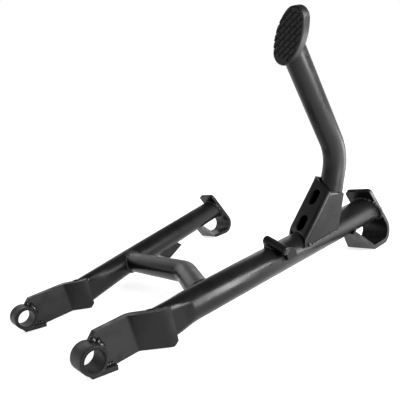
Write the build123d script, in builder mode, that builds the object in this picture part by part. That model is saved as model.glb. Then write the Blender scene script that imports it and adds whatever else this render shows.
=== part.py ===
from build123d import *
from math import asin, atan2, cos, degrees, radians, sin, tan
import os

# A welded motorcycle centre stand, in millimetres. X runs along the pivot axis towards the left
# eye, on the side of the foot lever, Y runs back to the feet and Z is up. The origin is the middle
# of the pivot axis. The pieces are drawn with the legs level and laid on the ground at the end.

# Pivot eyes and their liners
EYE_SPACING = 183.2
EYE_LENGTH = 23.2
EYE_DIAMETER = 26.0
BUSH_WALL = 1.5
PIVOT_BORE = 19.0
BUSH_PROUD = 0.4
EYE_CHAMFER = 0.8

# Leg tubes, which spread towards the feet and lie below the pivot axis
LEG_DIAMETER = 32.0
LEG_WALL = 2.6
LEG_DROP = 6.7
LEG_SPREAD = 10.44
LEG_SPACING = 163.4
OVAL_WIDTH = 16.0
OVAL_HEIGHT = 35.4
OVAL_SHIFT = 5.0
OVAL_LEAD = 6.5
LEFT_PRESS = 28.0
RIGHT_PRESS = 57.0

# Arm plates from the eyes to the legs: flat bars that slope down towards the feet and jog twice
PLATE_THICKNESS = 8.0
PLATE_HEIGHT = 37.0
PLATE_SLOPE = 5.2
PLATE_DROP = 1.2
PLATE_FRONT = 21.8
PLATE_NOSE = 12.3
PLATE_NOSE_SLOPE = 39.0
LEFT_PLATE_END = 75.0
RIGHT_PLATE_END = 80.5
PLATE_BEND = 3.0
LEFT_FOLD = 49.8
RIGHT_FOLD = 60.6
LAP_START = 76.5
PLATE_CORNER = 4.5

# Flat bars under the eyes
STOP_THICKNESS = 4.5
STOP_SLOPE = 15.0
STOP_AHEAD = 1.5
STOP_WIDTH = 20.0
STOP_OUTSET = 7.0
STOP_SETBACK = 0.4
STOP_EDGE = 1.1

# Cross tube between the legs
CROSS_DIAMETER = 26.5
CROSS_WALL = 2.3
CROSS_Y = 159.7
CROSS_BEND_X = 26.0
CROSS_BEND_RADIUS = 34.0
CROSS_JOIN = 124.4

# Foot loops, rolled from flat bar
FOOT_WIDTH = 34.0
FOOT_THICKNESS = 5.0
FOOT_SLOPE = 23.0
FOOT_TOP = 19.5
FOOT_TOP_Y = 352.0
FOOT_FACE = 52.7
FOOT_CORNER = 5.0
FOOT_LOOP_RADIUS = 17.5
FOOT_TAIL_RISE = 6.0
FOOT_TAIL = 20.4
FOOT_END_SLOPE = 56.0
FOOT_END_BEND = 3.0
FOOT_END_COPE = 5.0
FOOT_END_WIDTH = 15.0

# Foot lever, in a plane through the left leg's axis that leans outwards
LEVER_DIAMETER = 26.0
LEVER_WALL = 2.5
LEVER_ROLL = 6.6
LEVER_AHEAD = 64.3
LEVER_LOW_LEAN = 23.9
LEVER_HIGH_LEAN = 17.4
LEVER_KNEE = 83.9
LEVER_BEND_RADIUS = 51.0
LEVER_TOP = 2.5

# Oval foot pad at the top of the lever
PAD_LENGTH = 58.0
PAD_WIDTH = 31.0
PAD_THICKNESS = 10.0
PAD_END_RADIUS = 12.0
PAD_TILT = 50.3
PAD_HEIGHT = 219.2
PAD_OUTSET = 11.2
PAD_AHEAD = 6.0
PAD_EDGE = 2.0
TREAD_DEPTH = 1.4
TREAD_GROOVE = 1.5
TREAD_PITCH = 4.55
TREAD_STUD = 9.0
TREAD_TURN = -28.0
TREAD_BORDER = 3.2
TREAD_LENGTH = 45.0
TREAD_SHIFT = 2.0

# Folded gusset in front of the lever: its web has slanted ends, so the inner wall stands higher
GUSSET_WALL = 3.0
GUSSET_BEND = 4.5
GUSSET_SLOPE = 41.5
GUSSET_REACH = 41.2
GUSSET_START_UP = 15.0
GUSSET_LENGTH = 56.1
GUSSET_LOW_SKEW = 11.6
GUSSET_HIGH_SKEW = 16.6
GUSSET_FOOT = 4.0
GUSSET_REAR = 4.5
SLOT_LENGTH = 19.0
SLOT_WIDTH = 7.5
SLOT_PLACES = ((14.5, 0.5), (47.5, -0.5))

# Spring pin across the left leg, ahead of the gusset, with its saddle and tab
PIN_DIAMETER = 10.0
PIN_AHEAD = 34.2
PIN_SINK = 1.5
PIN_ROLL = 23.6
PIN_SKEW = 7.8
PIN_INNER = 14.8
PIN_OUTER = 16.6
PIN_EDGE = 2.5
SADDLE_LEAD = 3.5
SADDLE_LENGTH = 7.5
SADDLE_INNER = -9.0
SADDLE_OUTER = 5.0
TAB_THICKNESS = 4.0
TAB_PROUD = 2.5
TAB_LAG = 3.3
TAB_LENGTH = 13.0
TAB_TOP_DROP = 4.5
TAB_HEIGHT = 11.5
TAB_CORNER = 6.0

# Hooked spring lug under the right leg, ahead of its foot
LUG_THICKNESS = 6.0
LUG_AHEAD = 89.9
LUG_LENGTH = 62.0
LUG_HOOK = 7.5
LUG_TIP_DROP = 23.0
LUG_HEEL = 34.0
LUG_DEPTH = 31.5
LUG_HEEL_RADIUS = 8.0

LEG_RADIUS = LEG_DIAMETER / 2
EYE_RADIUS = EYE_DIAMETER / 2
BUSH_RADIUS = PIVOT_BORE / 2 + BUSH_WALL
SIDES = {"left": 1, "right": -1}
FOLD = {1: LEFT_FOLD, -1: RIGHT_FOLD}
PLATE_END = {1: LEFT_PLATE_END, -1: RIGHT_PLATE_END}
PRESS = {1: LEFT_PRESS, -1: RIGHT_PRESS}

half_flat = (OVAL_HEIGHT - OVAL_WIDTH) / 2
lap_face = OVAL_WIDTH / 2 + OVAL_SHIFT
foot_along = FOOT_TOP_Y / cos(radians(LEG_SPREAD))
lever_join = foot_along - LEVER_AHEAD
gusset_start = lever_join - GUSSET_REACH


def leg_frame(side):
    """Plane with its origin under the pivot axis, x outwards along +X and z along the leg."""
    run = Vector(side * sin(radians(LEG_SPREAD)), cos(radians(LEG_SPREAD)), 0)
    across = Vector(run.Y, -run.X, 0)
    return Plane(origin=(side * LEG_SPACING / 2, 0, -LEG_DROP), x_dir=across, z_dir=run)


def at_leg(side, along, across=0.0, up=0.0):
    """Point given by its distance along the leg, towards +X and above the leg's axis."""
    frame = leg_frame(side)
    return frame.origin + frame.z_dir * along + frame.x_dir * across + Vector(0, 0, up)


def at_plate(run, height):
    """Point in a side view of the arm plates, along and above their sloping middle line."""
    turn = radians(PLATE_SLOPE)
    along = Vector(cos(turn), -sin(turn))
    above = Vector(sin(turn), cos(turn))
    return along * run + above * height - Vector(0, PLATE_DROP)


def leg_section(side, along, across=0.0):
    """Plane across the leg, with x towards +X and y downwards."""
    frame = leg_frame(side)
    return Plane(origin=at_leg(side, along, across), x_dir=frame.x_dir, z_dir=frame.z_dir)


def pressed_section(plane, radius):
    """Oval outline of a pressed tube: two flat sides and two half circles."""
    with BuildSketch(plane) as section:
        with BuildLine():
            Line((radius, -half_flat), (radius, half_flat))
            CenterArc((0, half_flat), radius, 0, 180)
            Line((-radius, half_flat), (-radius, -half_flat))
            CenterArc((0, -half_flat), radius, 180, 180)
        make_face()
    return section.sketch


def round_section(plane, radius):
    """Circle in four arcs, which meet the four edges of the pressed outline."""
    turn = degrees(asin(half_flat / radius))
    with BuildSketch(plane) as section:
        with BuildLine():
            CenterArc((0, 0), radius, -turn, 2 * turn)
            CenterArc((0, 0), radius, turn, 180 - 2 * turn)
            CenterArc((0, 0), radius, 180 - turn, 2 * turn)
            CenterArc((0, 0), radius, 180 + turn, 180 - 2 * turn)
        make_face()
    return section.sketch


def leg_body(side, inset=0.0):
    """The leg's outer form, or its bore where the inset is the wall, cut along the foot's face."""
    foot_face = Plane(origin=(0, FOOT_TOP_Y, FOOT_TOP), x_dir=(1, 0, 0),
                      z_dir=(0, -cos(radians(FOOT_SLOPE)), -sin(radians(FOOT_SLOPE))))
    front = FOLD[side] - LEG_DIAMETER
    oval_end = PLATE_END[side] + OVAL_LEAD
    round_start = oval_end + PRESS[side]
    rear = foot_along + FOOT_FACE
    with BuildPart() as body:
        oval = pressed_section(leg_section(side, front, OVAL_SHIFT), OVAL_WIDTH / 2 - inset)
        extrude(oval, amount=oval_end - front)
        oval = pressed_section(leg_section(side, oval_end, OVAL_SHIFT), OVAL_WIDTH / 2 - inset)
        circle = round_section(leg_section(side, round_start), LEG_RADIUS - inset)
        loft([oval.face(), circle.face()])
        extrude(circle, amount=rear - round_start)
        split(bisect_by=foot_face, keep=Keep.TOP)
    return body.part


def tube(path, radius, wall):
    """Bent tube along a path, or a solid bar where the wall is the radius."""
    with BuildPart() as bent:
        with BuildSketch(Plane(origin=path @ 0, z_dir=path % 0)):
            Circle(radius)
            if wall < radius:
                Circle(radius - wall, mode=Mode.SUBTRACT)
        sweep(path=path)
    return bent.part


pieces = {}
legs = {side: leg_body(side) for side in SIDES.values()}

# Eyes and bushes
for name, side in SIDES.items():
    eye_end = side * EYE_SPACING / 2 - EYE_LENGTH / 2
    with BuildPart() as eye:
        with BuildSketch(Plane.YZ.offset(eye_end)):
            Circle(EYE_RADIUS)
            Circle(BUSH_RADIUS, mode=Mode.SUBTRACT)
        extrude(amount=EYE_LENGTH)
        chamfer(eye.edges().filter_by(GeomType.CIRCLE).sort_by(SortBy.RADIUS)[-2:], EYE_CHAMFER)
    pieces[name + "_pivot_eye"] = eye

    with BuildPart() as bush:
        with BuildSketch(Plane.YZ.offset(eye_end - BUSH_PROUD)):
            Circle(BUSH_RADIUS)
            Circle(PIVOT_BORE / 2, mode=Mode.SUBTRACT)
        extrude(amount=EYE_LENGTH + 2 * BUSH_PROUD)
        chamfer(bush.edges().filter_by(GeomType.CIRCLE), BUSH_PROUD)
    pieces[name + "_pivot_bush"] = bush

# Stop bars, tangent below the eyes and running down to the plates' front corners
half_plate = PLATE_HEIGHT / 2
plate_corner = at_plate(PLATE_FRONT, -half_plate)
stop_run = Vector(cos(radians(STOP_SLOPE)), -sin(radians(STOP_SLOPE)))
stop_down = Vector(-sin(radians(STOP_SLOPE)), -cos(radians(STOP_SLOPE)))
stop_touch = stop_down * EYE_RADIUS
stop_start = stop_touch - stop_run * STOP_AHEAD
stop_end = stop_touch + stop_run * ((plate_corner.X - stop_touch.X) / stop_run.X - STOP_SETBACK)
for name, side in SIDES.items():
    outer_end = side * EYE_SPACING / 2 + EYE_LENGTH / 2 - STOP_OUTSET
    with BuildPart() as stop_bar:
        with BuildSketch(Plane.YZ.offset(outer_end - STOP_WIDTH)):
            with BuildLine():
                Polyline(stop_start, stop_end, stop_end + stop_down * STOP_THICKNESS,
                         stop_start + stop_down * STOP_THICKNESS, close=True)
            make_face()
        extrude(amount=STOP_WIDTH)
        fillet(stop_bar.edges().filter_by(Axis.X).sort_by(Axis.Y)[:2], STOP_EDGE)
    pieces[name + "_stop_bar"] = stop_bar

# Arm plates: the bent band seen from above, then its outline seen from the side
plate_inner = EYE_RADIUS / 2
plate_rest = stop_touch + stop_run * ((plate_inner - stop_touch.X) / stop_run.X)
nose = at_plate(PLATE_NOSE, half_plate)
nose_run = Vector(cos(radians(PLATE_NOSE_SLOPE)), sin(radians(PLATE_NOSE_SLOPE)))
nose_end = nose - nose_run * ((nose.X - plate_inner) / nose_run.X)
for name, side in SIDES.items():
    flush = side * EYE_SPACING / 2 - EYE_LENGTH / 2
    lap = at_leg(side, LAP_START, lap_face)
    lap_end = at_leg(side, PLATE_END[side] + PLATE_HEIGHT, lap_face)
    with BuildPart() as arm_plate:
        with BuildSketch(Plane.XY.offset(-PLATE_HEIGHT)):
            with BuildLine():
                FilletPolyline((flush, 0), (flush, FOLD[side]), (lap.X, lap.Y), (lap_end.X, lap_end.Y),
                               radius=[PLATE_BEND + PLATE_THICKNESS, PLATE_BEND])
                offset(amount=PLATE_THICKNESS, side=Side.RIGHT)
            make_face()
        extrude(amount=2 * PLATE_HEIGHT)
        with BuildSketch(Plane.YZ.offset(flush - EYE_SPACING)):
            with BuildLine():
                Polyline((plate_inner, 0), plate_rest, stop_end, plate_corner,
                         at_plate(PLATE_END[side] - PLATE_CORNER, -half_plate),
                         at_plate(PLATE_END[side], PLATE_CORNER - half_plate),
                         at_plate(PLATE_END[side], half_plate), nose, nose_end, close=True)
            make_face()
            Circle(EYE_RADIUS, mode=Mode.SUBTRACT)
        extrude(amount=2 * EYE_SPACING, mode=Mode.INTERSECT)
    pieces[name + "_arm_plate"] = arm_plate

# Foot loops, bent from the face behind the leg round to a narrower tail under the leg
face_run = Vector(sin(radians(FOOT_SLOPE)), -cos(radians(FOOT_SLOPE)))
face_top = Vector(FOOT_TOP_Y, FOOT_TOP)
inner_radius = FOOT_LOOP_RADIUS - FOOT_THICKNESS
loop_centre = face_top + face_run * FOOT_FACE + Vector(face_run.Y, -face_run.X) * inner_radius
loop_turn = 90 + FOOT_SLOPE + FOOT_TAIL_RISE
end_run = Vector(-cos(radians(FOOT_END_SLOPE)), sin(radians(FOOT_END_SLOPE)))
for name, side in SIDES.items():
    middle = side * (LEG_SPACING / 2 + FOOT_TOP_Y * tan(radians(LEG_SPREAD)))
    with BuildPart() as foot_strip:
        with BuildSketch(Plane.YZ.offset(middle - FOOT_WIDTH / 2)):
            with BuildLine():
                face = Line(face_top, face_top + face_run * FOOT_FACE)
                loop = JernArc(face @ 1, face % 1, inner_radius, -loop_turn)
                tail = Line(loop @ 1, loop @ 1 + (loop % 1) * FOOT_TAIL)
                bend = JernArc(tail @ 1, tail % 1, FOOT_END_BEND, FOOT_TAIL_RISE - FOOT_END_SLOPE)
                end_length = (FOOT_END_COPE - LEG_DROP - LEG_RADIUS - (bend @ 1).Y) / end_run.Y
                Line(bend @ 1, bend @ 1 + end_run * end_length)
                offset(amount=FOOT_THICKNESS, side=Side.LEFT)
            make_face()
        extrude(amount=FOOT_WIDTH)
        top_corners = foot_strip.edges().filter_by(Axis((0, 0, 0), (0, -face_run.Y, face_run.X)))
        fillet(top_corners, FOOT_CORNER)
        with BuildSketch(Plane(origin=(middle, (bend @ 1).X, (bend @ 1).Y), x_dir=(1, 0, 0),
                               z_dir=(0, -end_run.Y, end_run.X))):
            for flank in (1, -1):
                with BuildLine():
                    Polyline((flank * FOOT_WIDTH / 2, 0), (flank * FOOT_END_WIDTH / 2, end_length),
                             (flank * FOOT_WIDTH, end_length), (flank * FOOT_WIDTH, 0), close=True)
                make_face()
        extrude(amount=2 * FOOT_THICKNESS, both=True, mode=Mode.SUBTRACT)
        add(legs[side], mode=Mode.SUBTRACT)
    pieces[name + "_foot_strip"] = foot_strip

# Leg tubes: cut along the arm plate in front and along the foot loop behind
for name, side in SIDES.items():
    fold = Vector(side * EYE_SPACING / 2 - EYE_LENGTH / 2, FOLD[side], -LEG_DROP)
    lap = at_leg(side, LAP_START, lap_face)
    jog = (lap - fold).normalized()
    seat = Plane(origin=fold, x_dir=jog, z_dir=Vector(-jog.Y, jog.X, 0))
    leg_bore = leg_body(side, LEG_WALL)
    with BuildPart() as leg_tube:
        add(legs[side])
        add(leg_bore, mode=Mode.SUBTRACT)
        split(bisect_by=seat, keep=Keep.TOP)
        add(pieces[name + "_arm_plate"].part, mode=Mode.SUBTRACT)
    pieces[name + "_leg_tube"] = leg_tube

# Cross tube, level with the legs and coped onto both
far_along = CROSS_Y / cos(radians(LEG_SPREAD))
with BuildLine() as cross_path:
    FilletPolyline(at_leg(-1, far_along), (CROSS_BEND_X, CROSS_Y, -LEG_DROP),
                   at_leg(1, CROSS_JOIN), radius=CROSS_BEND_RADIUS)
cross_stock = tube(cross_path.line, CROSS_DIAMETER / 2, CROSS_WALL)
with BuildPart() as cross_tube:
    add(cross_stock)
    add(legs[1], mode=Mode.SUBTRACT)
    add(legs[-1], mode=Mode.SUBTRACT)
pieces["cross_tube"] = cross_tube

# Foot lever and pad
along = leg_frame(1).z_dir
across = leg_frame(1).x_dir
up = across * sin(radians(LEVER_ROLL)) + Vector(0, 0, cos(radians(LEVER_ROLL)))
out = across * cos(radians(LEVER_ROLL)) - Vector(0, 0, sin(radians(LEVER_ROLL)))


def at_lever(run, height, outwards=0.0):
    """Point in the lever's own plane, by its run along the leg and height above the axis."""
    return leg_frame(1).origin + along * run + up * height + out * outwards


knee_run = lever_join + LEVER_KNEE * tan(radians(LEVER_LOW_LEAN))
pad_run = knee_run - (PAD_HEIGHT - LEVER_KNEE) * tan(radians(LEVER_HIGH_LEAN))
stock_top = PAD_HEIGHT + 2 * LEVER_DIAMETER
stock_run = knee_run - (stock_top - LEVER_KNEE) * tan(radians(LEVER_HIGH_LEAN))
with BuildLine() as lever_path:
    FilletPolyline(at_lever(lever_join, 0), at_lever(knee_run, LEVER_KNEE),
                   at_lever(stock_run, stock_top), radius=LEVER_BEND_RADIUS)
lever_bar = tube(lever_path.line, LEVER_DIAMETER / 2, LEVER_DIAMETER / 2)
lever_stock = tube(lever_path.line, LEVER_DIAMETER / 2, LEVER_WALL)
pad_seat = at_lever(pad_run, PAD_HEIGHT) + Vector(PAD_OUTSET, -PAD_AHEAD, 0)
with BuildPart() as lever_tube:
    add(lever_stock)
    add(legs[1], mode=Mode.SUBTRACT)
    split(bisect_by=Plane(origin=pad_seat, z_dir=(0, 1, 0)), keep=Keep.TOP)
    split(bisect_by=Plane(origin=pad_seat + Vector(0, 0, LEVER_TOP), z_dir=(0, 0, -1)), keep=Keep.TOP)
pieces["lever_tube"] = lever_tube

pad_front = Plane(origin=pad_seat - Vector(0, PAD_THICKNESS, 0),
                  x_dir=(cos(radians(PAD_TILT)), 0, sin(radians(PAD_TILT))), z_dir=(0, -1, 0))
half_long = PAD_LENGTH / 2 - PAD_END_RADIUS
half_wide = PAD_WIDTH / 2
bulge = half_wide - PAD_END_RADIUS
side_radius = (half_long ** 2 + half_wide ** 2 - PAD_END_RADIUS ** 2) / (2 * bulge)
side_turn = degrees(asin(half_long / (side_radius - PAD_END_RADIUS)))


def pad_outline(inset):
    """Oval of two wide and two narrow arcs on the pad's front face, moved in by the inset."""
    with BuildSketch(pad_front) as outline:
        with BuildLine():
            CenterArc((0, half_wide - side_radius), side_radius - inset, 90 - side_turn, 2 * side_turn)
            CenterArc((-half_long, 0), PAD_END_RADIUS - inset, 90 + side_turn, 180 - 2 * side_turn)
            CenterArc((0, side_radius - half_wide), side_radius - inset, 270 - side_turn, 2 * side_turn)
            CenterArc((half_long, 0), PAD_END_RADIUS - inset, side_turn - 90, 180 - 2 * side_turn)
        make_face()
    return outline.sketch


# Tread of staggered studs, between slanting grooves, with a plain band at each end of the pad
tread_rows = int(PAD_LENGTH / TREAD_PITCH / 2)
tread_studs = int(PAD_LENGTH / TREAD_STUD / 2)
with BuildSketch(pad_front) as grooves:
    with Locations(Rotation(0, 0, TREAD_TURN)):
        for row in range(-tread_rows, tread_rows + 1):
            with Locations((0, (row + 0.5) * TREAD_PITCH)):
                Rectangle(2 * PAD_LENGTH, TREAD_GROOVE)
            for stud in range(-tread_studs, tread_studs + 1):
                shift = (stud + (row % 2 + 1) / 2) * TREAD_STUD
                with Locations((shift, row * TREAD_PITCH)):
                    Rectangle(TREAD_GROOVE, TREAD_PITCH)
    with Locations((TREAD_SHIFT, 0)):
        Rectangle(TREAD_LENGTH, PAD_WIDTH, mode=Mode.INTERSECT)
tread = grooves.sketch & pad_outline(TREAD_BORDER)

with BuildPart() as lever_pad:
    extrude(pad_outline(0), amount=-PAD_THICKNESS)
    fillet(lever_pad.edges().group_by(Axis.Y)[0], PAD_EDGE)
    extrude(tread, amount=TREAD_DEPTH, dir=(0, 1, 0), mode=Mode.SUBTRACT)
pieces["lever_pad"] = lever_pad

# Gusset: a folded channel, open behind, with slanted ends and two slots in its web
gusset_plane = Plane(origin=at_lever(0, 0), x_dir=along, z_dir=out)
web_run = Vector(cos(radians(GUSSET_SLOPE)), sin(radians(GUSSET_SLOPE)))
web_in = Vector(web_run.Y, -web_run.X)
lean = Vector(sin(radians(LEVER_LOW_LEAN)), cos(radians(LEVER_LOW_LEAN)))
half_gusset = LEVER_DIAMETER / 2 + GUSSET_WALL
front = Vector(gusset_start, GUSSET_START_UP)
rear = Vector(lever_join + GUSSET_REAR / lean.Y, 0)


def gusset_form(inset):
    """Side view of the channel's outside, or of its hollow where the inset is the wall."""
    low = front + web_in * inset - web_run * LEG_DIAMETER
    high = front + web_in * inset + web_run * (GUSSET_LENGTH + LEG_DIAMETER)
    back = rear + lean * (2 * GUSSET_LENGTH)
    with BuildSketch(gusset_plane.offset(inset - half_gusset)) as form:
        with BuildLine():
            Polyline(low, high, back, rear - lean * LEG_DIAMETER, (low.X, -LEG_DIAMETER), close=True)
        make_face()
    return extrude(form.sketch, amount=2 * (half_gusset - inset), mode=Mode.PRIVATE)


web_plane = Plane(origin=at_lever(front.X, front.Y), x_dir=along * web_run.X + up * web_run.Y,
                  z_dir=along * web_in.X + up * web_in.Y)
lean_dir = along * lean.X + up * lean.Y
across_tube = along * lean.Y - up * lean.X
low_edge = web_plane.y_dir * (2 * half_gusset) - web_plane.x_dir * GUSSET_LOW_SKEW
high_edge = web_plane.y_dir * (2 * half_gusset) - web_plane.x_dir * GUSSET_HIGH_SKEW
low_cut = Plane(origin=web_plane.origin + web_plane.x_dir * GUSSET_LOW_SKEW / 2, x_dir=low_edge,
                z_dir=low_edge.cross(lean_dir))
high_cut = Plane(origin=web_plane.origin + web_plane.x_dir * (GUSSET_LENGTH + GUSSET_HIGH_SKEW / 2),
                 x_dir=high_edge, z_dir=high_edge.cross(across_tube))
foot_cut = Plane(origin=at_lever(0, GUSSET_FOOT), z_dir=up)
folded = gusset_form(0)
hollow = gusset_form(GUSSET_WALL)
with BuildPart() as lever_bracket:
    add(folded)
    fillet(lever_bracket.edges().filter_by(Axis(web_plane.origin, web_plane.x_dir)).sort_by(Axis.Y)[:2],
           GUSSET_BEND)
    add(hollow, mode=Mode.SUBTRACT)
    split(bisect_by=foot_cut, keep=Keep.TOP)
    split(bisect_by=low_cut, keep=Keep.BOTTOM)
    split(bisect_by=high_cut, keep=Keep.BOTTOM)
    with BuildSketch(web_plane):
        for run, outwards in SLOT_PLACES:
            with Locations((run, outwards)):
                SlotOverall(SLOT_LENGTH, SLOT_WIDTH)
    extrude(amount=2 * GUSSET_WALL, mode=Mode.SUBTRACT)
    add(lever_bar, mode=Mode.SUBTRACT)
    add(legs[1], mode=Mode.SUBTRACT)
pieces["lever_bracket"] = lever_bracket

# Spring pin, turned about the leg, with its saddle and tab
pin_place = gusset_start - PIN_AHEAD
pin_clear = LEG_RADIUS + PIN_DIAMETER / 2 - PIN_SINK
pin_turn = radians(PIN_ROLL)
pin_ends = [at_leg(1, pin_place + run * tan(radians(PIN_SKEW)),
                   pin_clear * sin(pin_turn) + run * cos(pin_turn),
                   pin_clear * cos(pin_turn) - run * sin(pin_turn)) for run in (-PIN_INNER, PIN_OUTER)]
with BuildPart() as spring_pin:
    with BuildSketch(Plane(origin=pin_ends[0], z_dir=pin_ends[1] - pin_ends[0])):
        Circle(PIN_DIAMETER / 2)
    extrude(amount=(pin_ends[1] - pin_ends[0]).length)
    fillet(spring_pin.edges().filter_by(GeomType.CIRCLE), PIN_EDGE)
    pin_bar = spring_pin.part
    add(legs[1], mode=Mode.SUBTRACT)
pieces["spring_pin"] = spring_pin

saddle_top = LEG_RADIUS + PIN_DIAMETER / 2
with BuildPart() as pin_saddle:
    with BuildSketch(leg_section(1, pin_place - SADDLE_LEAD)):
        with Locations(((SADDLE_INNER + SADDLE_OUTER) / 2, -saddle_top / 2)):
            Rectangle(SADDLE_OUTER - SADDLE_INNER, saddle_top)
    extrude(amount=SADDLE_LENGTH)
    add(legs[1], mode=Mode.SUBTRACT)
    add(pin_bar, mode=Mode.SUBTRACT)
pieces["pin_saddle"] = pin_saddle

tab_corner = at_leg(1, pin_place + TAB_LAG, LEG_RADIUS + TAB_PROUD, LEG_RADIUS - TAB_TOP_DROP)
tab_plane = Plane(origin=tab_corner, x_dir=leg_frame(1).z_dir, z_dir=leg_frame(1).x_dir)
with BuildPart() as pin_tab:
    with BuildSketch(tab_plane):
        Rectangle(TAB_LENGTH, TAB_HEIGHT, align=(Align.MIN, Align.MAX))
    extrude(amount=-TAB_THICKNESS)
    tab_ends = pin_tab.edges().filter_by(Axis(tab_corner, tab_plane.z_dir))
    fillet(tab_ends.group_by(Axis.Z)[-1], TAB_CORNER)
    add(legs[1], mode=Mode.SUBTRACT)
    add(pin_bar, mode=Mode.SUBTRACT)
pieces["pin_tab"] = pin_tab

# Spring lug, a hooked plate on edge under the right leg
lug_tip = foot_along - LUG_AHEAD
lug_top = -LEG_RADIUS / 2
lug_plane = Plane(origin=at_leg(-1, 0, -LUG_THICKNESS / 2), x_dir=leg_frame(-1).z_dir,
                  z_dir=leg_frame(-1).x_dir)
with BuildPart() as spring_lug:
    with BuildSketch(lug_plane) as lug_side:
        with BuildLine():
            Polyline((lug_tip - LUG_LENGTH, lug_top), (lug_tip - LUG_HOOK, lug_top),
                     (lug_tip - LUG_HOOK, -LEG_RADIUS), (lug_tip, -LUG_TIP_DROP),
                     (lug_tip - LUG_HEEL, -LUG_DEPTH), close=True)
        make_face()
        fillet(lug_side.vertices().sort_by(Axis.Y)[0], LUG_HEEL_RADIUS)
    extrude(amount=LUG_THICKNESS)
    add(legs[-1], mode=Mode.SUBTRACT)
pieces["spring_lug"] = spring_lug

# Laid on the ground, which the foot loops touch, and the stop bars or the arm plates in front
plate_rears = [at_plate(PLATE_END[side] - PLATE_CORNER, -half_plate) for side in SIDES.values()]
rests = [stop_end + stop_down * STOP_THICKNESS, *plate_rears]
reaches = [loop_centre - rest for rest in rests]
lie = min(degrees(atan2(-reach.Y, reach.X) + asin(FOOT_LOOP_RADIUS / reach.length))
          for reach in reaches)

os.makedirs("parts", exist_ok=True)
for name, piece in pieces.items():
    piece.part = piece.part.rotate(Axis.X, lie)
    piece.part.label = name
    export_step(piece.part, f"parts/{name}.step")
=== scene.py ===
import math
import random

import bpy
from mathutils import Euler, Matrix, Vector


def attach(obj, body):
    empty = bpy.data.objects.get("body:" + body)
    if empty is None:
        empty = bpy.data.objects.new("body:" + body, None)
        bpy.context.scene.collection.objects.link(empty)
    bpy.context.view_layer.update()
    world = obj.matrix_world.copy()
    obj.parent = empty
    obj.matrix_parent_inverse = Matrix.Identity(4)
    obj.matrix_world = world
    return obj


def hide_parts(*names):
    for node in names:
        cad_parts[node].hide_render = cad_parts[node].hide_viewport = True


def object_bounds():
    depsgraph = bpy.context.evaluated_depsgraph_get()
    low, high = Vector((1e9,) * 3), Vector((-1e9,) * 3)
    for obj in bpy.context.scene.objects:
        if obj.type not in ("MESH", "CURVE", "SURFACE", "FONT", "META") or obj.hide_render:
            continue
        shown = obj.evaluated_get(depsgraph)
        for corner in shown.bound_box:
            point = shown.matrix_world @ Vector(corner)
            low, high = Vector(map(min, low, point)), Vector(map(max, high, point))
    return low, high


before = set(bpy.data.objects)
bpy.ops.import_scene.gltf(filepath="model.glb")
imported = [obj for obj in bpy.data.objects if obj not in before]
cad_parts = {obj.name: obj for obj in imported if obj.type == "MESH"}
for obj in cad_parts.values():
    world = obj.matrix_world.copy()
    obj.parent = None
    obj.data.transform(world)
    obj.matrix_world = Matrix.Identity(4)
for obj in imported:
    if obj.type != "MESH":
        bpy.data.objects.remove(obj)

cad_low, cad_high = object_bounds()
MM = 0.001
rng = random.Random(7)

# The stand's own sizes, in millimetres, in the frame where its legs lie level; left is towards +X
LEFT = 1
RIGHT = -1
LIE = math.radians(4.7362)

# Legs, whose front ends are pressed oval
LEG_RADIUS = 16.0
LEG_DROP = 6.7
LEG_SPREAD = math.radians(10.44)
LEG_SPACING = 163.4
LEG_WALL = 2.6
LEG_TURNS = 144
CUT_END_FACING = 0.8
OVAL_RADIUS = 8.0
OVAL_SHIFT = 5.0
OVAL_HALF_FLAT = 9.7
OVAL_LEAD = 6.5
OVAL_STEPS = 48
LEFT_PRESS = 28.0
PRESS_STEP = 1.5
PRESS_STATIONS = range(-4, 36)
RECESS_END = 94.0
RECESS_STEP = 12.0
RECESS_BLEND = 0.25

# Eyes, stop bars and arm plates
EYE_RADIUS = 13.0
EYE_SPACING = 183.2
EYE_LENGTH = 23.2
STOP_SLOPE = math.radians(15.0)
STOP_OUTSET = 7.0
STOP_LENGTH = 27.0
PLATE_THICKNESS = 8.0
PLATE_SLOPE = math.radians(5.2)
PLATE_DROP = 1.2
PLATE_END = {LEFT: 75.0, RIGHT: 80.5}
FOLD = {LEFT: 49.8, RIGHT: 60.6}
LAP_START = 76.5

# Cross tube
CROSS_RADIUS = 13.25
CROSS_Y = 159.7
CROSS_BEND_X = 26.0
CROSS_JOIN = 124.4

# Feet
FOOT_SLOPE = math.radians(23.0)
FOOT_TOP = 19.5
FOOT_TOP_Y = 352.0
FOOT_TAIL_Y = 321.6
FOOT_TAIL_HALF = 8.5

# Lever, which lies in a plane of its own
LEVER_RADIUS = 13.0
LEVER_ROLL = math.radians(6.6)
LEVER_JOIN = 293.6
LEVER_KNEE = 83.9
LEVER_LOW_LEAN = math.radians(23.9)
LEVER_HIGH_LEAN = math.radians(17.4)

# Pad, with its tread in the pad's own plane
PAD_HEIGHT = 219.2
PAD_RUN = (LEVER_JOIN + LEVER_KNEE * math.tan(LEVER_LOW_LEAN)
           - (PAD_HEIGHT - LEVER_KNEE) * math.tan(LEVER_HIGH_LEAN))
PAD_OUTSET = 11.2
PAD_AHEAD = 6.0
PAD_LENGTH = 58.0
PAD_WIDTH = 31.0
PAD_THICKNESS = 10.0
PAD_END_RADIUS = 12.0
PAD_EDGE = 2.0
PAD_TILT = math.radians(50.3)
PAD_TURNS = 480
RIM_HALVINGS = 40
EDGE_RINGS = 13
EDGE_RING_STEP = 0.012
FACE_RINGS = 92
TREAD_DEPTH = 1.4
TREAD_PITCH = 4.55
TREAD_STUD = 9.0
TREAD_TURN = math.radians(28.0)
TREAD_BORDER = 1.6
TREAD_LOW = -20.5
TREAD_HIGH = 24.5
TREAD_EASE = 0.5
GROOVE_FLOOR = 0.35
GROOVE_EDGE = 0.85
CUT_FLOOR = 0.25
CUT_EDGE = 0.70

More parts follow.
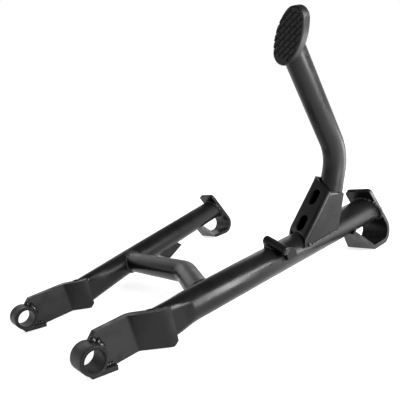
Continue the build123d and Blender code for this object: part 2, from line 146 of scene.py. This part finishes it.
# Gusset and its two slots, each with its place along the web and outwards
GUSSET_START = 252.4
GUSSET_FOOT = 4.0
GUSSET_HALF = 16.0
GUSSET_START_UP = 15.0
GUSSET_SLOPE = math.radians(41.5)
SLOT_PLACES = ((14.5, 0.5), (47.5, -0.5))
SLOT_LENGTH = 19.6
SLOT_WIDTH = 11.5
SLOT_DEPTH = 6.0
SLOT_STEPS = 16
SHARP_ANGLE = math.radians(30.0)

# Spring pin and lug
PIN_PLACE = 218.2
LUG_TIP = 268.0
LUG_LENGTH = 62.0
LUG_HOOK = 7.5
LUG_HALF = 3.0

# Weld beads: the radius of each, the ripples of all, and where along its seam each starts and ends
WELD_RADIUS = {
    "foot": 2.5,
    "tail": 1.9,
    "eye": 3.4,
    "stop": 1.7,
    "wedge": 1.6,
    "seat": 1.2,
    "plate_end": 1.5,
    "cross": 2.2,
    "lever": 2.0,
    "gusset": 1.1,
    "tack": 2.2,
    "pad": 2.0,
    "pin": 1.5,
    "lug": 1.6,
}
RIPPLE_PITCH = 2.6
FOOT_RIPPLE_PITCH = 4.0
EYE_RIPPLE_PITCH = 6.0
RIPPLE_ROWS = 4
RIPPLE_SWELL = 0.18
RIPPLE_DRIFT = 0.6
RIPPLE_CHANCE = 0.10
BEAD_SIDES = 8
BEAD_FEWEST_ROWS = 6
BEAD_TIP = 0.45
BEAD_TAPER = 0.4
SEAM_STEPS = 72
PAD_SEAM_STEPS = 96
EDGE_TO_EDGE = [i / 4 - 1 for i in range(9)]
EYE_WELD_RADIUS = 14.5
EYE_WELD_START = 62
EYE_WELD_STEP = 7.2
EYE_WELD_POINTS = 17
STOP_WELD_START = 11
STOP_WELD_SHORT = 14
WEDGE_WELD_PLACE = 4.5
WEDGE_WELD_RISE = 0.4
PLATE_WELD_HALF = 14.0
GUSSET_WELD_IN = 6
GUSSET_WELD_PAST = 5
TACK_START = (1.0, 1.5, -0.6)
TACK_END = (5.0, 0.5, 0.0)
PAD_WELD_RISE = 1
PIN_WELD_PLACES = {"front": -4.5, "rear": 5.0}
PIN_WELD_ANGLES = range(64, 124, 6)
LUG_WELD_IN = 1


# Places on the stand
def laid(x, y, z):
    """Point of the level frame, in millimetres, where it lies once the stand rests on the ground."""
    turn = Matrix.Rotation(LIE, 3, "X")
    return turn @ Vector((x, y, z)) * MM


def leg_axes(side):
    """Start, run and across directions of a leg, in the level frame."""
    run = Vector((side * math.sin(LEG_SPREAD), math.cos(LEG_SPREAD), 0))
    across = Vector((run.y, -run.x, 0))
    return Vector((side * LEG_SPACING / 2, 0, -LEG_DROP)), run, across


def on_leg(side, along, angle):
    """Point on a leg's surface, by its place along the leg and its angle from +X towards up."""
    start, run, across = leg_axes(side)
    turn = math.radians(angle)
    return (start + run * along + across * LEG_RADIUS * math.cos(turn)
            + Vector((0, 0, LEG_RADIUS * math.sin(turn))))


def under_leg(side, along, aside):
    """Point on a leg's underside, by its place along the leg and aside from the leg's axis."""
    start, run, across = leg_axes(side)
    depth = math.sqrt(max(LEG_RADIUS ** 2 - aside ** 2, 0))
    return start + run * along + across * aside - Vector((0, 0, depth))


def on_plate(run, height):
    """Back and up of a point along and above the arm plates' sloping middle line."""
    y = run * math.cos(PLATE_SLOPE) + height * math.sin(PLATE_SLOPE)
    return Vector((0, y, height * math.cos(PLATE_SLOPE) - run * math.sin(PLATE_SLOPE) - PLATE_DROP))


def seat_plane(side):
    """Point and direction of the slanting face on the arm plate where a leg's oval end sits."""
    start, run, across = leg_axes(side)
    fold = Vector((side * EYE_SPACING / 2 - EYE_LENGTH / 2, FOLD[side], -LEG_DROP))
    lap = start + run * LAP_START + across * (OVAL_RADIUS + OVAL_SHIFT)
    jog = (lap - fold).normalized()
    return fold, Vector((-jog.y, jog.x, 0))


def at_lever(run, height, outwards=0.0):
    """Point in the lever's own plane, by its run along the leg and height above the leg's axis."""
    start, along, across = leg_axes(LEFT)
    up = across * math.sin(LEVER_ROLL) + Vector((0, 0, math.cos(LEVER_ROLL)))
    out = across * math.cos(LEVER_ROLL) - Vector((0, 0, math.sin(LEVER_ROLL)))
    return start + along * run + up * height + out * outwards


def lever_direction(lean):
    """Direction of the lever where it leans back from upright, in its own plane."""
    return (at_lever(math.sin(lean), math.cos(lean)) - at_lever(0, 0)).normalized()


def reach(start, run, point, normal):
    """How far along run a line from start meets a plane."""
    return (point - start).dot(normal) / run.dot(normal)


def around(run, radius, turn):
    """Step from a tube's axis to its surface, at an angle about its run."""
    side = run.orthogonal().normalized()
    other = run.cross(side)
    return (side * math.cos(turn) + other * math.sin(turn)) * radius


def smooth(value, start, end):
    """0 up to start and 1 from end on, eased between them."""
    share = min(max((value - start) / (end - start), 0), 1)
    return share * share * (3 - 2 * share)


FOOT_POINT = Vector((0, FOOT_TOP_Y, FOOT_TOP))
FOOT_NORMAL = Vector((0, -math.cos(FOOT_SLOPE), -math.sin(FOOT_SLOPE)))
PAD_AXIS = at_lever(PAD_RUN, PAD_HEIGHT)


# Materials
def nodes_of(name):
    """New material, with its nodes, links and shader."""
    material = bpy.data.materials.new(name)
    material.use_nodes = True
    tree = material.node_tree
    return material, tree.nodes, tree.links, tree.nodes["Principled BSDF"]


def add_node(nodes, kind, values):
    """Shader node of a kind, with values for its inputs by name."""
    node = nodes.new("ShaderNode" + kind)
    for name, value in values.items():
        node.inputs[name].default_value = value
    return node


def powder_coat(name, grey, rough_low, rough_high, grain, relief, gleam):
    """Black satin coat over steel: soft edges, uneven gloss and fine orange peel, whose grain and
    relief are in millimetres."""
    material, nodes, links, shader = nodes_of(name)
    place = nodes.new("ShaderNodeTexCoord")
    peel = add_node(nodes, "TexNoise", {"Scale": 1 / (grain * MM), "Detail": 3})
    patches = add_node(nodes, "TexNoise", {"Scale": 60, "Detail": 4})
    for texture in (peel, patches):
        links.new(place.outputs["Object"], texture.inputs["Vector"])

    gloss = add_node(nodes, "MapRange", {
        "From Min": 0.35, "From Max": 0.65, "To Min": rough_low, "To Max": rough_high})
    links.new(patches.outputs["Fac"], gloss.inputs["Value"])
    links.new(gloss.outputs["Result"], shader.inputs["Roughness"])

    tint = nodes.new("ShaderNodeValToRGB")
    dark, pale = tint.color_ramp.elements
    dark.position = 0.3
    dark.color = (grey * 0.8, grey * 0.8, grey * 0.8, 1)
    pale.position = 0.75
    pale.color = (grey * 1.3, grey * 1.3, grey * 1.3, 1)
    links.new(patches.outputs["Fac"], tint.inputs["Fac"])
    links.new(tint.outputs["Color"], shader.inputs["Base Color"])

    edge = add_node(nodes, "Bevel", {"Radius": 0.7 * MM})
    edge.samples = 4
    bump = add_node(nodes, "Bump", {"Strength": 0.35, "Distance": relief * MM})
    links.new(peel.outputs["Fac"], bump.inputs["Height"])
    links.new(edge.outputs["Normal"], bump.inputs["Normal"])
    links.new(bump.outputs["Normal"], shader.inputs["Normal"])
    shader.inputs["Specular IOR Level"].default_value = gleam
    return material


COAT = powder_coat("powder_coat", 0.006, 0.26, 0.36, grain=0.9, relief=0.12, gleam=0.25)
PLATE_COAT = powder_coat("plate_coat", 0.010, 0.28, 0.60, grain=1.2, relief=0.35, gleam=0.25)
PAD_COAT = powder_coat("pad_coat", 0.006, 0.34, 0.46, grain=1.2, relief=0.1, gleam=0.25)
THICK_COAT = powder_coat("thick_coat", 0.008, 0.36, 0.62, grain=1.6, relief=0.6, gleam=0.2)
LINER = powder_coat("bush_liner", 0.006, 0.40, 0.50, grain=0.6, relief=0.12, gleam=0.15)
WELD = powder_coat("coated_weld", 0.006, 0.20, 0.32, grain=0.9, relief=0.6, gleam=0.4)

for name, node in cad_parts.items():
    node.data.materials.clear()
    if "bush" in name:
        node.data.materials.append(LINER)
    elif "eye" in name or "stop" in name:
        node.data.materials.append(THICK_COAT)
    elif "plate" in name:
        node.data.materials.append(PLATE_COAT)
    else:
        node.data.materials.append(COAT)


# Objects
def add_object(name, data):
    """Object of a mesh, lamp or camera, in the scene."""
    thing = bpy.data.objects.new(name, data)
    bpy.context.scene.collection.objects.link(thing)
    return thing


def add_mesh(name, points, faces):
    """Object with a new mesh, from points in metres."""
    mesh = bpy.data.meshes.new(name)
    mesh.from_pydata([tuple(point) for point in points], [], faces)
    mesh.update()
    return add_object(name, mesh)


def coated(piece, material=None):
    """The piece joins the stand's one body, in the record's coat."""
    if material:
        piece.data.materials.append(material)
    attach(piece, "root")


# Seams, as points of the level frame
def line(first, last, steps=8):
    """Evenly spaced points of a straight seam."""
    return [first.lerp(last, i / steps) for i in range(steps + 1)]


def tube_cut(start, run, radius, point, normal, steps=SEAM_STEPS):
    """Where a tube's surface meets a plane."""
    found = []
    for i in range(steps + 1):
        edge = start + around(run, radius, math.radians(360 * i / steps))
        found.append(edge + run * reach(edge, run, point, normal))
    return found


def saddle(start, run, radius, side):
    """Where a tube that comes along run meets the round surface of a leg."""
    axis_point, axis = leg_axes(side)[:2]
    step = run - axis * run.dot(axis)
    found = []
    for i in range(SEAM_STEPS + 1):
        edge = start + around(run, radius, 2 * math.pi * i / SEAM_STEPS)
        offset = edge - axis_point
        flat = offset - axis * offset.dot(axis)
        a, b, c = step.dot(step), 2 * flat.dot(step), flat.dot(flat) - LEG_RADIUS ** 2
        found.append(edge + run * ((-b + math.sqrt(max(b * b - 4 * a * c, 0))) / (2 * a)))
    return found


def bead_spine(path, closed, pitch):
    """The path in metres, laid down and divided evenly into the rows of a bead."""
    marks = [laid(*point) for point in path]
    if closed:
        marks[-1] = marks[0]
    lengths = [(b - a).length for a, b in zip(marks, marks[1:])]
    total = sum(lengths)
    count = max(int(total / (pitch * MM / RIPPLE_ROWS)), BEAD_FEWEST_ROWS)
    spine = []
    for i in range(count + (not closed)):
        left = total * i / count
        span = 0
        while span < len(lengths) - 1 and left > lengths[span]:
            left -= lengths[span]
            span += 1
        share = min(left / max(lengths[span], 1e-9), 1)
        spine.append(marks[span].lerp(marks[span + 1], share))
    return spine


def bead(name, path, kind, closed=False, pitch=RIPPLE_PITCH):
    """A rippled weld bead along points of the level frame, made as one lumpy tube."""
    spine = bead_spine(path, closed, pitch)
    rows = len(spine)
    points = []
    for i, point in enumerate(spine):
        ahead = spine[(i + 1) % rows] if closed or i + 1 < rows else point
        behind = spine[i - 1] if closed or i else point
        run = (ahead - behind).normalized()
        wave = math.sin(2 * math.pi * i / RIPPLE_ROWS + rng.uniform(-RIPPLE_DRIFT, RIPPLE_DRIFT))
        ripple = 1 + RIPPLE_SWELL * wave + rng.uniform(-RIPPLE_CHANCE, RIPPLE_CHANCE)
        tip = 1 if closed else min(1, BEAD_TIP + BEAD_TAPER * min(i, rows - 1 - i))
        radius = WELD_RADIUS[kind] * MM * ripple * tip
        for k in range(BEAD_SIDES):
            points.append(point + around(run, radius, 2 * math.pi * k / BEAD_SIDES))
    faces = []
    for i in range(rows if closed else rows - 1):
        below, above = i * BEAD_SIDES, (i + 1) % rows * BEAD_SIDES
        for k in range(BEAD_SIDES):
            n = (k + 1) % BEAD_SIDES
            faces.append((below + k, below + n, above + n, above + k))
    if not closed:
        faces.append(tuple(reversed(range(BEAD_SIDES))))
        faces.append(tuple(range((rows - 1) * BEAD_SIDES, rows * BEAD_SIDES)))
    piece = add_mesh(name, points, faces)
    for face in piece.data.polygons:
        face.use_smooth = True
    coated(piece, WELD)


# Welds of one side
def foot_welds(name, side):
    """Round the leg's end on the foot strip, and across the end of the strip's tail."""
    start, run, across = leg_axes(side)
    ring = tube_cut(start, run, LEG_RADIUS, FOOT_POINT, FOOT_NORMAL)
    bead(name + "_foot_weld", ring, "foot", True, FOOT_RIPPLE_PITCH)
    middle = side * (LEG_SPACING / 2 + FOOT_TOP_Y * math.tan(LEG_SPREAD))
    tail = []
    for share in EDGE_TO_EDGE:
        offset = Vector((middle + share * FOOT_TAIL_HALF, FOOT_TAIL_Y, 0)) - start
        tail.append(under_leg(side, offset.dot(run), offset.dot(across)))
    bead(name + "_tail_weld", tail, "tail")


def eye_welds(name, side):
    """Where the arm plate's +X face meets the eye and the stop bar, and the stop bar the eye."""
    face_x = side * EYE_SPACING / 2 - EYE_LENGTH / 2 + PLATE_THICKNESS
    arc = []
    for i in range(EYE_WELD_POINTS):
        turn = math.radians(EYE_WELD_START - i * EYE_WELD_STEP)
        arc.append(Vector((face_x, EYE_WELD_RADIUS * math.cos(turn), EYE_WELD_RADIUS * math.sin(turn))))
    bead(name + "_eye_weld", arc, "eye", pitch=EYE_RIPPLE_PITCH)

    stop_run = Vector((0, math.cos(STOP_SLOPE), -math.sin(STOP_SLOPE)))
    touch = Vector((0, -math.sin(STOP_SLOPE), -math.cos(STOP_SLOPE))) * EYE_RADIUS
    under = touch + stop_run * STOP_WELD_START
    under.x = face_x
    bead(name + "_stop_weld", line(under, under + stop_run * (STOP_LENGTH - STOP_WELD_SHORT)), "stop")
    stop_x = side * EYE_SPACING / 2 + EYE_LENGTH / 2 - STOP_OUTSET
    wedge = touch + stop_run * WEDGE_WELD_PLACE
    ends = [Vector((x, wedge.y, wedge.z + WEDGE_WELD_RISE)) for x in (face_x, stop_x)]
    bead(name + "_stop_wedge_weld", line(*ends), "wedge")


def plate_welds(name, side):
    """Round the leg's oval end where it sits on the arm plate, and down the plate's rear end."""
    start, run, across = leg_axes(side)
    fold, seat = seat_plane(side)
    ring = []
    for i in range(OVAL_STEPS + 1):
        turn = 2 * math.pi * i / OVAL_STEPS
        rise = OVAL_HALF_FLAT if math.sin(turn) >= 0 else -OVAL_HALF_FLAT
        edge = (start + across * (OVAL_SHIFT + OVAL_RADIUS * math.cos(turn))
                + Vector((0, 0, rise + OVAL_RADIUS * math.sin(turn))))
        ring.append(edge + run * reach(edge, run, fold, seat))
    bead(name + "_seat_weld", ring, "seat", True)
    leg_face = OVAL_RADIUS + OVAL_SHIFT
    rear = []
    for share in EDGE_TO_EDGE:
        place = on_plate(PLATE_END[side], share * PLATE_WELD_HALF)
        along = (place.y + leg_face * run.x) / run.y
        rear.append(start + run * along + across * leg_face + Vector((0, 0, place.z + LEG_DROP)))
    bead(name + "_plate_end_weld", rear, "plate_end")


for name, side in (("left", LEFT), ("right", RIGHT)):
    foot_welds(name, side)
    eye_welds(name, side)
    plate_welds(name, side)


# Welds of the cross tube, the lever and the spring's two holds
def cross_weld(name, side, along):
    """Round one end of the bent cross tube, by that end's place along its leg."""
    start, run = leg_axes(side)[:2]
    end = start + run * along
    towards_bend = (Vector((CROSS_BEND_X, CROSS_Y, -LEG_DROP)) - end).normalized()
    bead("cross_weld_" + name, saddle(end, towards_bend, CROSS_RADIUS, side), "cross", True)


def lever_welds():
    """Round the lever's foot, along the gusset's two walls, and a tack at the gusset's outer corner."""
    foot = saddle(at_lever(LEVER_JOIN, 0), lever_direction(LEVER_LOW_LEAN), LEVER_RADIUS, LEFT)
    bead("lever_weld", foot, "lever", True)
    for name, outwards in (("outer", GUSSET_HALF), ("inner", -GUSSET_HALF)):
        first = at_lever(GUSSET_START + GUSSET_WELD_IN, GUSSET_FOOT, outwards)
        last = at_lever(LEVER_JOIN + GUSSET_WELD_PAST, GUSSET_FOOT, outwards)
        bead("gusset_weld_" + name, line(first, last, steps=20), "gusset")
    ends = [at_lever(GUSSET_START + run, GUSSET_FOOT + height, GUSSET_HALF + outwards)
            for run, height, outwards in (TACK_START, TACK_END)]
    bead("gusset_tack", line(*ends), "tack")


def pad_weld():
    """Where the lever's round top meets the pad's back, on the lower side."""
    back = Vector((0, PAD_AXIS.y - PAD_AHEAD, 0))
    ring = tube_cut(PAD_AXIS, lever_direction(-LEVER_HIGH_LEAN), LEVER_RADIUS, back, Vector((0, 1, 0)),
                    PAD_SEAM_STEPS)
    low = [point for point in ring if point.z < PAD_AXIS.z + PAD_WELD_RISE]
    break_at = max(range(len(low)), key=lambda i: (low[i] - low[i - 1]).length)
    bead("pad_weld", low[break_at:] + low[:break_at], "pad")


def spring_welds():
    """Before and behind the spring pin's saddle, and along both sides of the spring lug."""
    for name, offset in PIN_WELD_PLACES.items():
        bead("pin_weld_" + name, [on_leg(LEFT, PIN_PLACE + offset, a) for a in PIN_WELD_ANGLES], "pin")
    for name, aside in (("outer", LUG_HALF), ("inner", -LUG_HALF)):
        first = under_leg(RIGHT, LUG_TIP - LUG_LENGTH + LUG_WELD_IN, aside)
        last = under_leg(RIGHT, LUG_TIP - LUG_HOOK, aside)
        bead("lug_weld_" + name, line(first, last, steps=24), "lug")


cross_weld("right", RIGHT, CROSS_Y / math.cos(LEG_SPREAD))
cross_weld("left", LEFT, CROSS_JOIN)
lever_welds()
pad_weld()
spring_welds()


# The left leg, with the sharper end that its pressed recess has on the outer side
def leg_outline(along, turn, inset):
    """Across and up of the left leg's surface, at an angle from its outer side towards up."""
    corner = math.asin(OVAL_HALF_FLAT / LEG_RADIUS)
    radius = OVAL_RADIUS - inset
    fold = abs(math.atan2(math.sin(turn), math.cos(turn)))
    if fold < corner or fold > math.pi - corner:
        facing = 1 if fold < corner else -1
        flat = Vector((OVAL_SHIFT + facing * radius, LEG_RADIUS * math.sin(turn)))
    else:
        bend = (fold - corner) / (math.pi - 2 * corner) * math.pi
        rise = math.copysign(OVAL_HALF_FLAT + radius * math.sin(bend), math.sin(turn))
        flat = Vector((OVAL_SHIFT + radius * math.cos(bend), rise))
    full = Vector((math.cos(turn), math.sin(turn))) * (LEG_RADIUS - inset)
    start = PLATE_END[LEFT] + OVAL_LEAD
    easy = smooth(along, start, start + LEFT_PRESS)
    steep = smooth(along, RECESS_END, RECESS_END + RECESS_STEP)
    round_side = smooth(fold, corner * (1 - RECESS_BLEND), corner * (1 + RECESS_BLEND))
    return flat.lerp(full, steep + (easy - steep) * round_side)


def leg_point(along, place):
    """Point of the left leg, by its place along the leg and its outline's across and up."""
    start, run, across = leg_axes(LEFT)
    return start + run * along + across * place.x + Vector((0, 0, place.y))


def left_leg():
    """One open tube: outside and inside lengthwise from the seat to the foot, and its two cut ends."""
    run = leg_axes(LEFT)[1]
    fold, seat = seat_plane(LEFT)
    press_end = PLATE_END[LEFT] + OVAL_LEAD + LEFT_PRESS
    middles = [PLATE_END[LEFT] + i * PRESS_STEP for i in PRESS_STATIONS]
    points = []
    for inset in (0.0, LEG_WALL):
        for k in range(LEG_TURNS):
            turn = 2 * math.pi * k / LEG_TURNS
            oval = leg_point(0, leg_outline(0, turn, inset))
            full = leg_point(0, leg_outline(press_end, turn, inset))
            first = reach(oval, run, fold, seat)
            last = reach(full, run, FOOT_POINT, FOOT_NORMAL)
            for along in [first] + [max(first, middle) for middle in middles] + [last]:
                points.append(laid(*leg_point(along, leg_outline(along, turn, inset))))
    count = len(middles) + 2
    inner = LEG_TURNS * count
    faces = []
    for k in range(LEG_TURNS):
        here, then = k * count, (k + 1) % LEG_TURNS * count
        for j in range(count - 1):
            outside = (here + j, then + j, then + j + 1, here + j + 1)
            faces.append(outside)
            faces.append(tuple(inner + corner for corner in reversed(outside)))
        end, next_end = here + count - 1, then + count - 1
        faces.append((inner + here, inner + then, then, here))
        faces.append((end, next_end, inner + next_end, inner + end))
    piece = add_mesh("pressed_leg", points, faces)
    lengthwise = laid(*run).normalized()
    for face in piece.data.polygons:
        face.use_smooth = abs(face.normal.dot(lengthwise)) < CUT_END_FACING
    coated(piece, COAT)
    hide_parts("left_leg_tube")


left_leg()

# The pad's outline: two arcs of its end radius, and two of the long sides' radius that meet them
half_long = PAD_LENGTH / 2 - PAD_END_RADIUS
half_wide = PAD_WIDTH / 2
side_radius = ((half_long ** 2 + half_wide ** 2 - PAD_END_RADIUS ** 2)
               / (2 * (half_wide - PAD_END_RADIUS)))
side_turn = math.asin(half_long / (side_radius - PAD_END_RADIUS))


def pad_inset(x, y):
    """How far a point of the pad's face lies inside its outline."""
    depth = abs(y) + side_radius - half_wide
    if math.atan2(abs(x), depth) < side_turn:
        return side_radius - math.hypot(x, depth)
    return PAD_END_RADIUS - math.hypot(abs(x) - half_long, y)


def pad_rim(share):
    """Point of the outline at a share of the way round it, anticlockwise from the pad's high end."""
    turn = 2 * math.pi * share
    far = PAD_LENGTH
    near = 0.0
    for _ in range(RIM_HALVINGS):
        middle = (near + far) / 2
        if pad_inset(middle * math.cos(turn), middle * math.sin(turn)) > 0:
            near = middle
        else:
            far = middle
    return near * math.cos(turn), near * math.sin(turn)


def pad_relief(x, y):
    """Height of the pad's face against its flat front: a rounded edge, slanting grooves that run out
    over the upper edge, and shallower cuts between the studs."""
    inset = max(pad_inset(x, y), 0)
    height = 0.0
    if inset < PAD_EDGE:
        height = math.sqrt(PAD_EDGE ** 2 - (PAD_EDGE - inset) ** 2) - PAD_EDGE
    aside = x * math.cos(TREAD_TURN) - y * math.sin(TREAD_TURN)
    rise = x * math.sin(TREAD_TURN) + y * math.cos(TREAD_TURN)
    row = round(rise / TREAD_PITCH)
    groove = TREAD_PITCH / 2 - abs(rise - row * TREAD_PITCH)
    groove_depth = TREAD_DEPTH * (1 - smooth(groove, GROOVE_FLOOR, GROOVE_EDGE))
    shift = TREAD_STUD / 2 if row % 2 == 0 else 0.0
    cut = abs((aside - shift + TREAD_STUD / 2) % TREAD_STUD - TREAD_STUD / 2)
    cut_depth = TREAD_DEPTH / 2 * (1 - smooth(cut, CUT_FLOOR, CUT_EDGE))
    low_end = smooth(x, TREAD_LOW - TREAD_EASE, TREAD_LOW)
    high_end = 1 - smooth(x, TREAD_HIGH, TREAD_HIGH + TREAD_EASE)
    border = 1 if y > 0 else smooth(inset, TREAD_BORDER, TREAD_BORDER + TREAD_EASE)
    return height - max(groove_depth, cut_depth) * (low_end * high_end) * border


def foot_pad():
    """Rings of points from the rim in to the centre of the tread, and a flat back."""
    lean = Vector((math.cos(PAD_TILT), 0, math.sin(PAD_TILT)))
    above = Vector((-math.sin(PAD_TILT), 0, math.cos(PAD_TILT)))
    ahead = Vector((0, -1, 0))
    middle = PAD_AXIS + Vector((PAD_OUTSET, -PAD_AHEAD - PAD_THICKNESS, 0))
    rim = [pad_rim(k / PAD_TURNS) for k in range(PAD_TURNS)]
    shares = [1 - EDGE_RING_STEP * i for i in range(EDGE_RINGS)]
    inside = 1 - EDGE_RING_STEP * EDGE_RINGS
    shares += [inside * (1 - i / FACE_RINGS) for i in range(1, FACE_RINGS)]
    spots = []
    for share in shares:
        for x, y in rim:
            spots.append((x * share, y * share, pad_relief(x * share, y * share)))
    spots.append((0.0, 0.0, pad_relief(0.0, 0.0)))
    centre = len(spots) - 1
    back = len(spots)
    spots += [(x, y, -PAD_THICKNESS) for x, y in rim]
    inmost = (len(shares) - 1) * PAD_TURNS
    faces = []
    for k in range(PAD_TURNS):
        n = (k + 1) % PAD_TURNS
        for outer in range(0, inmost, PAD_TURNS):
            inner = outer + PAD_TURNS
            faces.append((outer + k, outer + n, inner + n, inner + k))
        faces.append((inmost + k, inmost + n, centre))
        faces.append((n, k, back + k, back + n))
    faces.append(tuple(back + k for k in reversed(range(PAD_TURNS))))
    points = [laid(*(middle + lean * x + above * y + ahead * z)) for x, y, z in spots]
    piece = add_mesh("treaded_pad", points, faces)
    for face in piece.data.polygons:
        face.use_smooth = face.index < len(faces) - 1
    for edge in piece.data.edges:
        edge.use_edge_sharp = min(edge.vertices) >= back
    coated(piece, PAD_COAT)
    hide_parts("lever_pad")


foot_pad()


# The gusset, with its two slots opened to the width that shows
def slot_cutter(run, outwards):
    """A round-ended bar that stands across the gusset's sloping web."""
    half = SLOT_WIDTH / 2
    straight = SLOT_LENGTH / 2 - half
    outline = []
    for end, first in ((1, -90), (-1, 90)):
        for i in range(SLOT_STEPS + 1):
            turn = math.radians(first + i * 180 / SLOT_STEPS)
            along = run + end * straight + half * math.cos(turn)
            outline.append((along, outwards + half * math.sin(turn)))
    points = []
    for depth in (-SLOT_DEPTH / 2, SLOT_DEPTH):
        for along, aside in outline:
            lever_run = GUSSET_START + along * math.cos(GUSSET_SLOPE) + depth * math.sin(GUSSET_SLOPE)
            height = GUSSET_START_UP + along * math.sin(GUSSET_SLOPE) - depth * math.cos(GUSSET_SLOPE)
            points.append(laid(*at_lever(lever_run, height, aside)))
    count = len(outline)
    faces = [(k, (k + 1) % count, count + (k + 1) % count, count + k) for k in range(count)]
    faces += [tuple(reversed(range(count))), tuple(range(count, 2 * count))]
    return add_mesh("slot_cutter", points, faces)


def slotted_bracket():
    """A copy of the solid's mesh with the two cutters taken out of it."""
    piece = add_object("slotted_bracket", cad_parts["lever_bracket"].data.copy())
    cutters = [slot_cutter(*place) for place in SLOT_PLACES]
    for cutter in cutters:
        cut = piece.modifiers.new("slot", "BOOLEAN")
        cut.operation = "DIFFERENCE"
        cut.solver = "EXACT"
        cut.object = cutter
    seen = piece.evaluated_get(bpy.context.evaluated_depsgraph_get())
    mesh = bpy.data.meshes.new_from_object(seen)
    piece.modifiers.clear()
    piece.data = mesh
    for cutter in cutters:
        bpy.data.meshes.remove(cutter.data)
    mesh.shade_smooth()
    mesh.set_sharp_from_angle(angle=SHARP_ANGLE)
    coated(piece)
    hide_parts("lever_bracket")


slotted_bracket()


# Floor and world, which are white where the camera sees them
def seen_directly(nodes, links):
    """1 where the camera sees a surface, straight or through metal's or glass's reflection."""
    rays = nodes.new("ShaderNodeLightPath")
    first = nodes.new("ShaderNodeMath")
    second = nodes.new("ShaderNodeMath")
    first.operation = second.operation = "MAXIMUM"
    links.new(rays.outputs["Is Camera Ray"], first.inputs[0])
    links.new(rays.outputs["Is Glossy Ray"], first.inputs[1])
    links.new(first.outputs[0], second.inputs[0])
    links.new(rays.outputs["Is Transmission Ray"], second.inputs[1])
    return second.outputs[0]


def pale_floor():
    """Pale paint that glows a little where the camera sees it, and keeps the stand's shadow."""
    material, nodes, links, shader = nodes_of("pale_floor")
    shader.inputs["Base Color"].default_value = (0.86, 0.86, 0.86, 1)
    shader.inputs["Roughness"].default_value = 0.9
    shader.inputs["Specular IOR Level"].default_value = 0.0
    glow = add_node(nodes, "Emission", {"Strength": 0.75})
    both = nodes.new("ShaderNodeAddShader")
    pick = nodes.new("ShaderNodeMixShader")
    links.new(shader.outputs[0], both.inputs[0])
    links.new(glow.outputs[0], both.inputs[1])
    links.new(seen_directly(nodes, links), pick.inputs["Fac"])
    links.new(shader.outputs[0], pick.inputs[1])
    links.new(both.outputs[0], pick.inputs[2])
    links.new(pick.outputs[0], nodes["Material Output"].inputs["Surface"])
    return material


def add_floor():
    """A wide square, in metres, at the height of the stand's lowest point."""
    half = 6.0
    corners = [(-half, -half), (half, -half), (half, half), (-half, half)]
    floor = add_mesh("floor", [(x, y, cad_low[2]) for x, y in corners], [(0, 1, 2, 3)])
    floor.data.materials.append(pale_floor())


def add_world():
    """White to the camera, dim as light, and in reflections a white horizon under a dark ceiling."""
    world = bpy.data.worlds.new("studio")
    bpy.context.scene.world = world
    world.use_nodes = True
    nodes, links = world.node_tree.nodes, world.node_tree.links
    soft = nodes["Background"]
    soft.inputs["Color"].default_value = (1, 1, 1, 1)
    soft.inputs["Strength"].default_value = 0.30
    white = add_node(nodes, "Background", {"Color": (1, 1, 1, 1)})
    place = nodes.new("ShaderNodeTexCoord")
    parts = nodes.new("ShaderNodeSeparateXYZ")
    ceiling = add_node(nodes, "MapRange", {
        "From Min": 0.15, "From Max": 0.60, "To Min": 1.0, "To Max": 0.15})
    straight = nodes.new("ShaderNodeLightPath")
    level = nodes.new("ShaderNodeMath")
    level.operation = "MAXIMUM"
    links.new(place.outputs["Generated"], parts.inputs[0])
    links.new(parts.outputs["Z"], ceiling.inputs["Value"])
    links.new(ceiling.outputs["Result"], level.inputs[0])
    links.new(straight.outputs["Is Camera Ray"], level.inputs[1])
    links.new(level.outputs[0], white.inputs["Strength"])
    pick = nodes.new("ShaderNodeMixShader")
    links.new(seen_directly(nodes, links), pick.inputs["Fac"])
    links.new(soft.outputs[0], pick.inputs[1])
    links.new(white.outputs[0], pick.inputs[2])
    links.new(pick.outputs[0], nodes["World Output"].inputs["Surface"])


add_floor()
add_world()


# Lamps and camera, in metres
def lamp(name, place, target, width, height, power):
    """Rectangular lamp at a place, aimed at a target."""
    data = bpy.data.lights.new(name, "AREA")
    data.shape = "RECTANGLE"
    data.size = width
    data.size_y = height
    data.energy = power
    light = add_object(name, data)
    light.location = place
    light.rotation_euler = (Vector(target) - Vector(place)).to_track_quat("-Z", "Y").to_euler()


MIDDLE = (0.05, 0.2, 0.05)
lamp("right", (0.97, 0.43, 0.28), MIDDLE, width=0.34, height=0.60, power=16)
lamp("right_far", (0.83, 0.74, 0.36), (0.14, 0.28, 0.02), width=0.24, height=0.16, power=3.5)
lamp("left", (-1.0, 0.2, 0.65), MIDDLE, width=0.8, height=0.8, power=2.0)
lamp("kick", (0.30, 0.55, 0.04), (0.19, 0.25, 0.22), width=0.12, height=0.12, power=0.4)
lamp("rear", (-0.7, 1.3, 0.5), MIDDLE, width=0.6, height=0.6, power=1)

camera_data = bpy.data.cameras.new("camera")
camera_data.sensor_width = 36
camera_data.lens = 39.6
camera = add_object("camera", camera_data)
camera.location = (0.448255, -0.116354, 0.169213)
camera.rotation_euler = Euler([math.radians(a) for a in (80.4175, 13.2364, 50.4711)])
bpy.context.scene.camera = camera
bpy.context.scene.view_settings.view_transform = "Standard"
